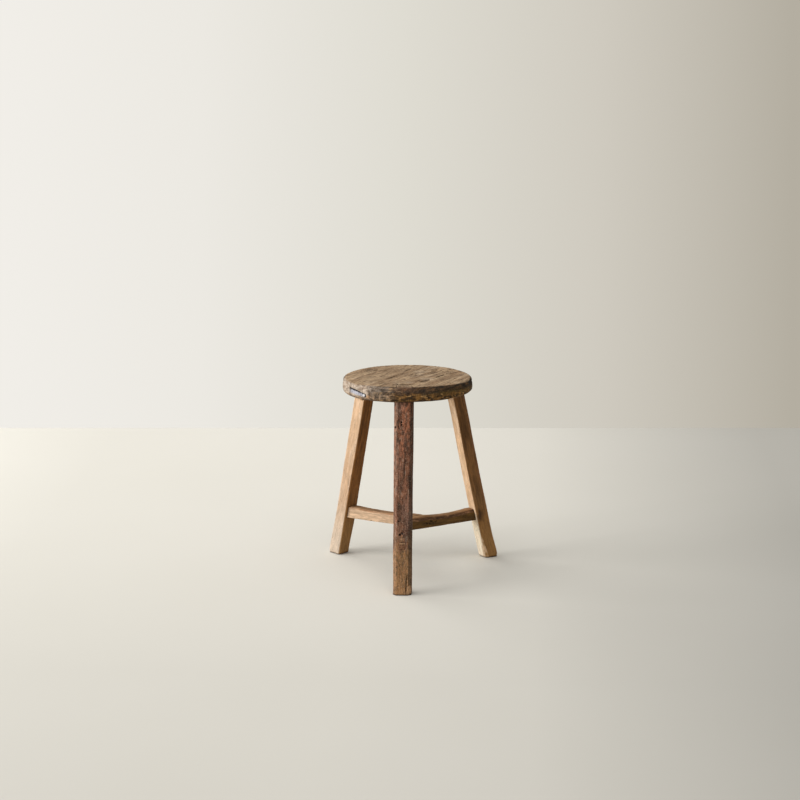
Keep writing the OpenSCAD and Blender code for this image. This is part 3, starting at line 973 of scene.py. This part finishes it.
def build_rail(node, leg, seed, light_side, pale, brown, bevel_side, bevel):
    """A rail rubbed by feet: light_side faces the light, bevel_side has its top arris worn flat."""
    foot, _ = leg_axes(leg, seat_mid)
    origin, axes = rail_axes(node, foot)
    skin = Skin(node, 0.85 * MM, SOFTEN_ROUNDS, JOINTS.get(leg, ()), HEAD_REACH)
    q = (skin.co - origin) @ axes.T
    half = np.ptp(q[:, 2]) / 2
    wide = np.percentile(np.abs(q[:, 0]), 98)
    waves = layered(q / [0.03, 0.03, 0.07] + seed, 3)
    nicks = layered(q / [0.008, 0.008, 0.014] + seed + 5, 3)
    middle = ramp(half - np.abs(q[:, 2]), 6 * MM, 40 * MM)

    # The worn bevel along one top arris
    aside = wide - q[:, 0] * bevel_side
    beneath = top_line(q) - q[:, 1]
    over = (bevel * (0.5 + 0.5 * middle) + 0.8 * MM * waves - aside - beneath) / math.sqrt(2)
    inward = -(axes[0] * bevel_side + axes[1]) / math.sqrt(2)
    skin.co += np.clip(over, 0, None)[:, None] * inward
    skin.put()
    bevelled = ramp(over, -0.3 * MM, 0.5 * MM)

    normals = skin.normals()
    ring = rings(q, (0.02, -0.03), 3.0 * MM, seed)
    arris = ramp(skin.bulge(), 0.25 * MM, 0.9 * MM)
    upward = ramp(normals[:, 2], 0.3, 0.8)
    sink = MM * 0.35 * waves + 0.22 * MM * (0.5 - ring) - 1.0 * MM
    sink += 0.1 * MM * stretched(q, 1.2 * MM, 20 * MM, seed + 3)
    sink += arris * MM * (0.2 + 0.6 * ramp(nicks, 0.0, 0.7))
    sink *= skin.open
    cracked = np.abs(noise(q / [0.006, 0.006, 0.09] + seed + 40))
    cuts = (1 - ramp(cracked, 0.0, 0.05)) * ramp(stretched(q, 0.02, 0.08, seed + 8), 0.1, 0.45) * MM
    knots = np.zeros(len(q))
    front = ramp(normals @ axes[0], 0.3, 0.7)
    if node == "right_rail":
        away = np.hypot((q[:, 2] - 36 * MM) / (12 * MM), (q[:, 1] - 12.0 * MM) / (4.0 * MM)) + 0.25 * nicks
        groove = bell(away, 0.8, 0.28) * ramp(noise(q / 0.006 + 8), -0.5, 0.1)
        lean = (q[:, 2] - 17 * MM) + 0.8 * (q[:, 1] - 13 * MM)
        stroke = bell(lean, 0, 2.2 * MM) * bell(q[:, 1], 13 * MM, 4 * MM)
        knots = front * np.maximum(np.maximum(groove, 0.3 * (away < 0.8)), 0.7 * stroke)
        cuts = np.maximum(cuts, 1.6 * MM * knots)
    if node == "left_rail":
        nick = np.linalg.norm((q - [-wide, 0, -30.5 * MM]) / [3 * MM, 2.5 * MM, 3 * MM], axis=1)
        sink += 2.0 * MM * (1 - ramp(nick, 0.4, 1.2))
    skin.sink(sink + cuts)

    spots = patches(q, 0.008, 0.045, seed, -0.4, 0.6)
    light = mix(pale, np.array(pale) * 0.84, spots)
    shade = mix(brown, np.array(brown) * 0.66, spots)
    # Lit and shaded copies: pale on the face towards the key lamp, brown painted shade on the face turned
    # away from it.
    facing = ramp((normals @ axes[0]) * light_side, -0.1, 0.5)
    tone = mix(shade, light, facing)
    swirl = np.sin((np.hypot(q[:, 1] - 4 * MM, (q[:, 2] - 8 * MM) / 4) / (1.5 * MM)) + 3 * waves)
    tone = mix(tone, tone * 0.93, ramp(swirl, -0.2, 0.9))
    tone = mix(tone, srgb(168, 128, 88), 0.75 * upward * (1 - 0.5 * spots))
    tone = mix(tone, srgb(146, 106, 76), 0.8 * bevelled * (1 - 0.5 * spots))
    if node == "right_rail":
        seam = bevelled * (1 - ramp(aside, 1.5 * MM, 5 * MM))
        tone = mix(tone, srgb(64, 42, 24), 0.85 * seam * ramp(nicks, -0.9, -0.1))
    tone = mix(tone, srgb(72, 48, 30), 0.16 * ring)
    mottle = layered(q / [0.004, 0.004, 0.015] + seed, 3)
    tone = tone * mix(0.82, 1.16, ramp(mottle, -0.6, 0.6))[:, None]
    tone = mix(tone, srgb(40, 28, 18), 0.7 * knots)
    if node == "front_rail":
        # The tenon's end, flush in the front leg's face
        end = ramp(-(normals @ axes[2]), 0.5, 0.8) * (1 - ramp(q[:, 2] + half, 6 * MM, 10 * MM))
        reddish = mix(srgb(132, 94, 68), srgb(92, 62, 44), ramp(mottle, -0.4, 0.5))
        tone = mix(tone, reddish, end)
        top_edge = ramp(q[:, 1], np.percentile(q[end > 0.5, 1], 86), np.percentile(q[end > 0.5, 1], 92))
        tone = mix(tone, srgb(206, 168, 128), 0.85 * end * top_edge * ramp(nicks, -1.1, -0.3))
    joint = 1 - ramp(q[:, 2] + half, 20 * MM, 25 * MM)
    dark = np.maximum(ramp(cuts, 0.4 * MM, 1.4 * MM), 0.12 * joint * (node != "front_rail"))
    rubbed = arris * 0.3 + 0.5 * middle * upward * bevelled
    skin.paint(tone, q, dark, rubbed)
    skin.finish(RAIL_WOOD, "rail_wood")


# ---- wedges and nails


def build_wedge(node, leg, seed):
    base, axes = leg_axes(leg, seat_mid)
    skin = Skin(node, 0.45 * MM, 1)
    q = (skin.co - base) @ axes.T
    nicks = layered(q / 0.004 + seed, 2)
    top = ramp(skin.normals()[:, 2], 0.4, 0.9)
    skin.sink((top_waves(skin.co) - 0.1 * MM + 0.2 * MM * nicks) * top)
    tone = top_tone(skin.co, seat_axes(skin.co))[0] * mix(0.5, 0.8, ramp(nicks, -0.4, 0.5))[:, None]
    skin.paint(tone, q, np.zeros(len(q)), ramp(nicks, 0.2, 0.8) * 0.3)
    skin.finish(WEDGE_WOOD, "wedge_wood")


build_seat()
build_front_leg()
build_back_leg("left_leg", 23, (-1, 0))
build_back_leg("right_leg", 37, (0, -1))
build_rail("front_rail", "front_leg", 51, 1, srgb(150, 116, 80), srgb(112, 82, 52), -1, 5 * MM)
build_rail("left_rail", "left_leg", 57, -1, srgb(210, 178, 147), srgb(128, 92, 56), -1, 3 * MM)
build_rail("right_rail", "right_leg", 63, -1, srgb(156, 120, 76), srgb(104, 74, 34), 1, 8 * MM)
for leg in LEGS:
    build_wedge(leg + "_wedge", leg, 71)
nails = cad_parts["rail_nails"]
nails.data.materials.clear()
nails.data.materials.append(iron_material())

# ---- floor, light and camera

FLOOR_BEHIND = 1.534
FLOOR_FRONT = 8.0
FLOOR_SIDE = 8.0


def view_point(right, back, up):
    """A place given from the seat's middle, in the camera's own directions."""
    turn = math.radians(CAMERA_TURN)
    x = right * math.cos(turn) - back * math.sin(turn)
    y = right * math.sin(turn) + back * math.cos(turn)
    return (seat_mid[0] + x, seat_mid[1] + y, up)


def build_floor():
    places = ((-1, -FLOOR_FRONT), (1, -FLOOR_FRONT), (1, FLOOR_BEHIND), (-1, FLOOR_BEHIND))
    corners = [view_point(hand * FLOOR_SIDE, back, 0) for hand, back in places]
    mesh = bpy.data.meshes.new("floor")
    mesh.from_pydata(corners, [], [(0, 1, 2, 3)])
    floor = new_object("floor", mesh)
    material, g = new_material("pale_floor")
    place = g.node("ShaderNodeTexCoord").outputs["Object"]
    patch = g.node("ShaderNodeTexNoise", {"Vector": place, "Scale": 1.6, "Detail": 3}).outputs[0]
    colour = g.blend(patch, (*srgb(211, 208, 199), 1), (*srgb(215, 212, 204), 1))
    x, y, _ = g.node("ShaderNodeSeparateXYZ", {0: place}).outputs
    # Painted light: the floor is brightest near the middle and shaded towards both sides (most to the right)
    # and towards the front.
    sides = g.math("MINIMUM", g.spread(x, -1.0, -0.1, 0.92, 1.08), g.spread(x, 0.3, 1.0, 1.08, 0.79))
    colour = g.scaled(colour, g.math("MULTIPLY", sides, g.spread(y, -0.75, 1.5, 0.87, 1.12)))
    inputs = {"Base Color": colour, "Roughness": 0.6, "Specular IOR Level": 0.06}
    g.surface(inputs)
    mesh.materials.append(material)


# The wall's screen colour from the left of the picture to its right: painted light, bright on the left and
# shaded towards the right
WALL_PAINTED_LIGHT = [
    (0.01, (241, 238, 232)),
    (0.25, (236, 233, 226)),
    (0.5, (223, 220, 210)),
    (0.75, (207, 202, 191)),
    (0.99, (180, 174, 161)),
]


def build_world():
    """Soft light from all round, and a pale wall that only the camera sees."""
    world = bpy.data.worlds.new("studio")
    bpy.context.scene.world = world
    world.use_nodes = True
    world.node_tree.nodes.clear()
    g = Graph(world.node_tree)
    across = g.node("ShaderNodeTexCoord").outputs["Window"]
    across = g.node("ShaderNodeSeparateXYZ", {0: across}).outputs[0]
    ramp_node = g.node("ShaderNodeValToRGB", {0: across})
    stops = ramp_node.color_ramp.elements
    while len(stops) < len(WALL_PAINTED_LIGHT):
        stops.new(0.5)
    for stop, (place, colour) in zip(stops, WALL_PAINTED_LIGHT):
        stop.position = place
        stop.color = (*srgb(*colour), 1)
    wall = ramp_node.outputs[0]
    shown = g.node("ShaderNodeBackground", {"Color": wall, "Strength": 1.0})
    light = g.node("ShaderNodeBackground", {"Color": (1.0, 0.985, 0.955, 1), "Strength": 0.42})
    camera_ray = g.node("ShaderNodeLightPath").outputs["Is Camera Ray"]
    mixed = g.node("ShaderNodeMixShader", {0: camera_ray, 1: light.outputs[0], 2: shown.outputs[0]})
    g.node("ShaderNodeOutputWorld", {"Surface": mixed.outputs[0]})


def add_light(name, place, size, power, colour, target):
    """A soft rectangular lamp: size is its width and height."""
    lamp = bpy.data.lights.new(name, "AREA")
    lamp.shape = "RECTANGLE"
    lamp.size, lamp.size_y = size
    lamp.energy = power
    lamp.color = colour
    obj = new_object(name, lamp)
    obj.location = place
    aim = np.array(target) - np.array(place)
    turn = math.atan2(aim[1], aim[0])
    obj.rotation_euler = (math.acos(-aim[2] / np.linalg.norm(aim)), 0, turn - math.pi / 2)


def build_camera():
    camera = bpy.data.cameras.new("camera")
    camera.lens = CAMERA_LENS
    obj = new_object("camera", camera)
    obj.location = view_point(CAMERA_SIDE, -CAMERA_BACK, CAMERA_HEIGHT)
    obj.rotation_euler = (math.radians(90 - CAMERA_DOWN), 0, math.radians(CAMERA_TURN))
    bpy.context.scene.camera = obj


build_floor()
build_world()
STOOL_MIDDLE_UP = 0.24
stool_middle = view_point(0, 0, STOOL_MIDDLE_UP)
add_light("key", view_point(-3.7, -0.7, 1.25), (2.6, 1.8), 150, (1.0, 0.99, 0.97), stool_middle)
add_light("window", view_point(-2.2, 2.2, 2.2), (2.6, 1.6), 44, (1.0, 0.995, 0.98), view_point(0.2, 1.0, 0))
add_light("overhead", view_point(-0.4, -1.2, 3.4), (4.0, 3.0), 46, (1.0, 0.99, 0.975), stool_middle)
build_camera()
bpy.context.scene.view_settings.view_transform = "Standard"
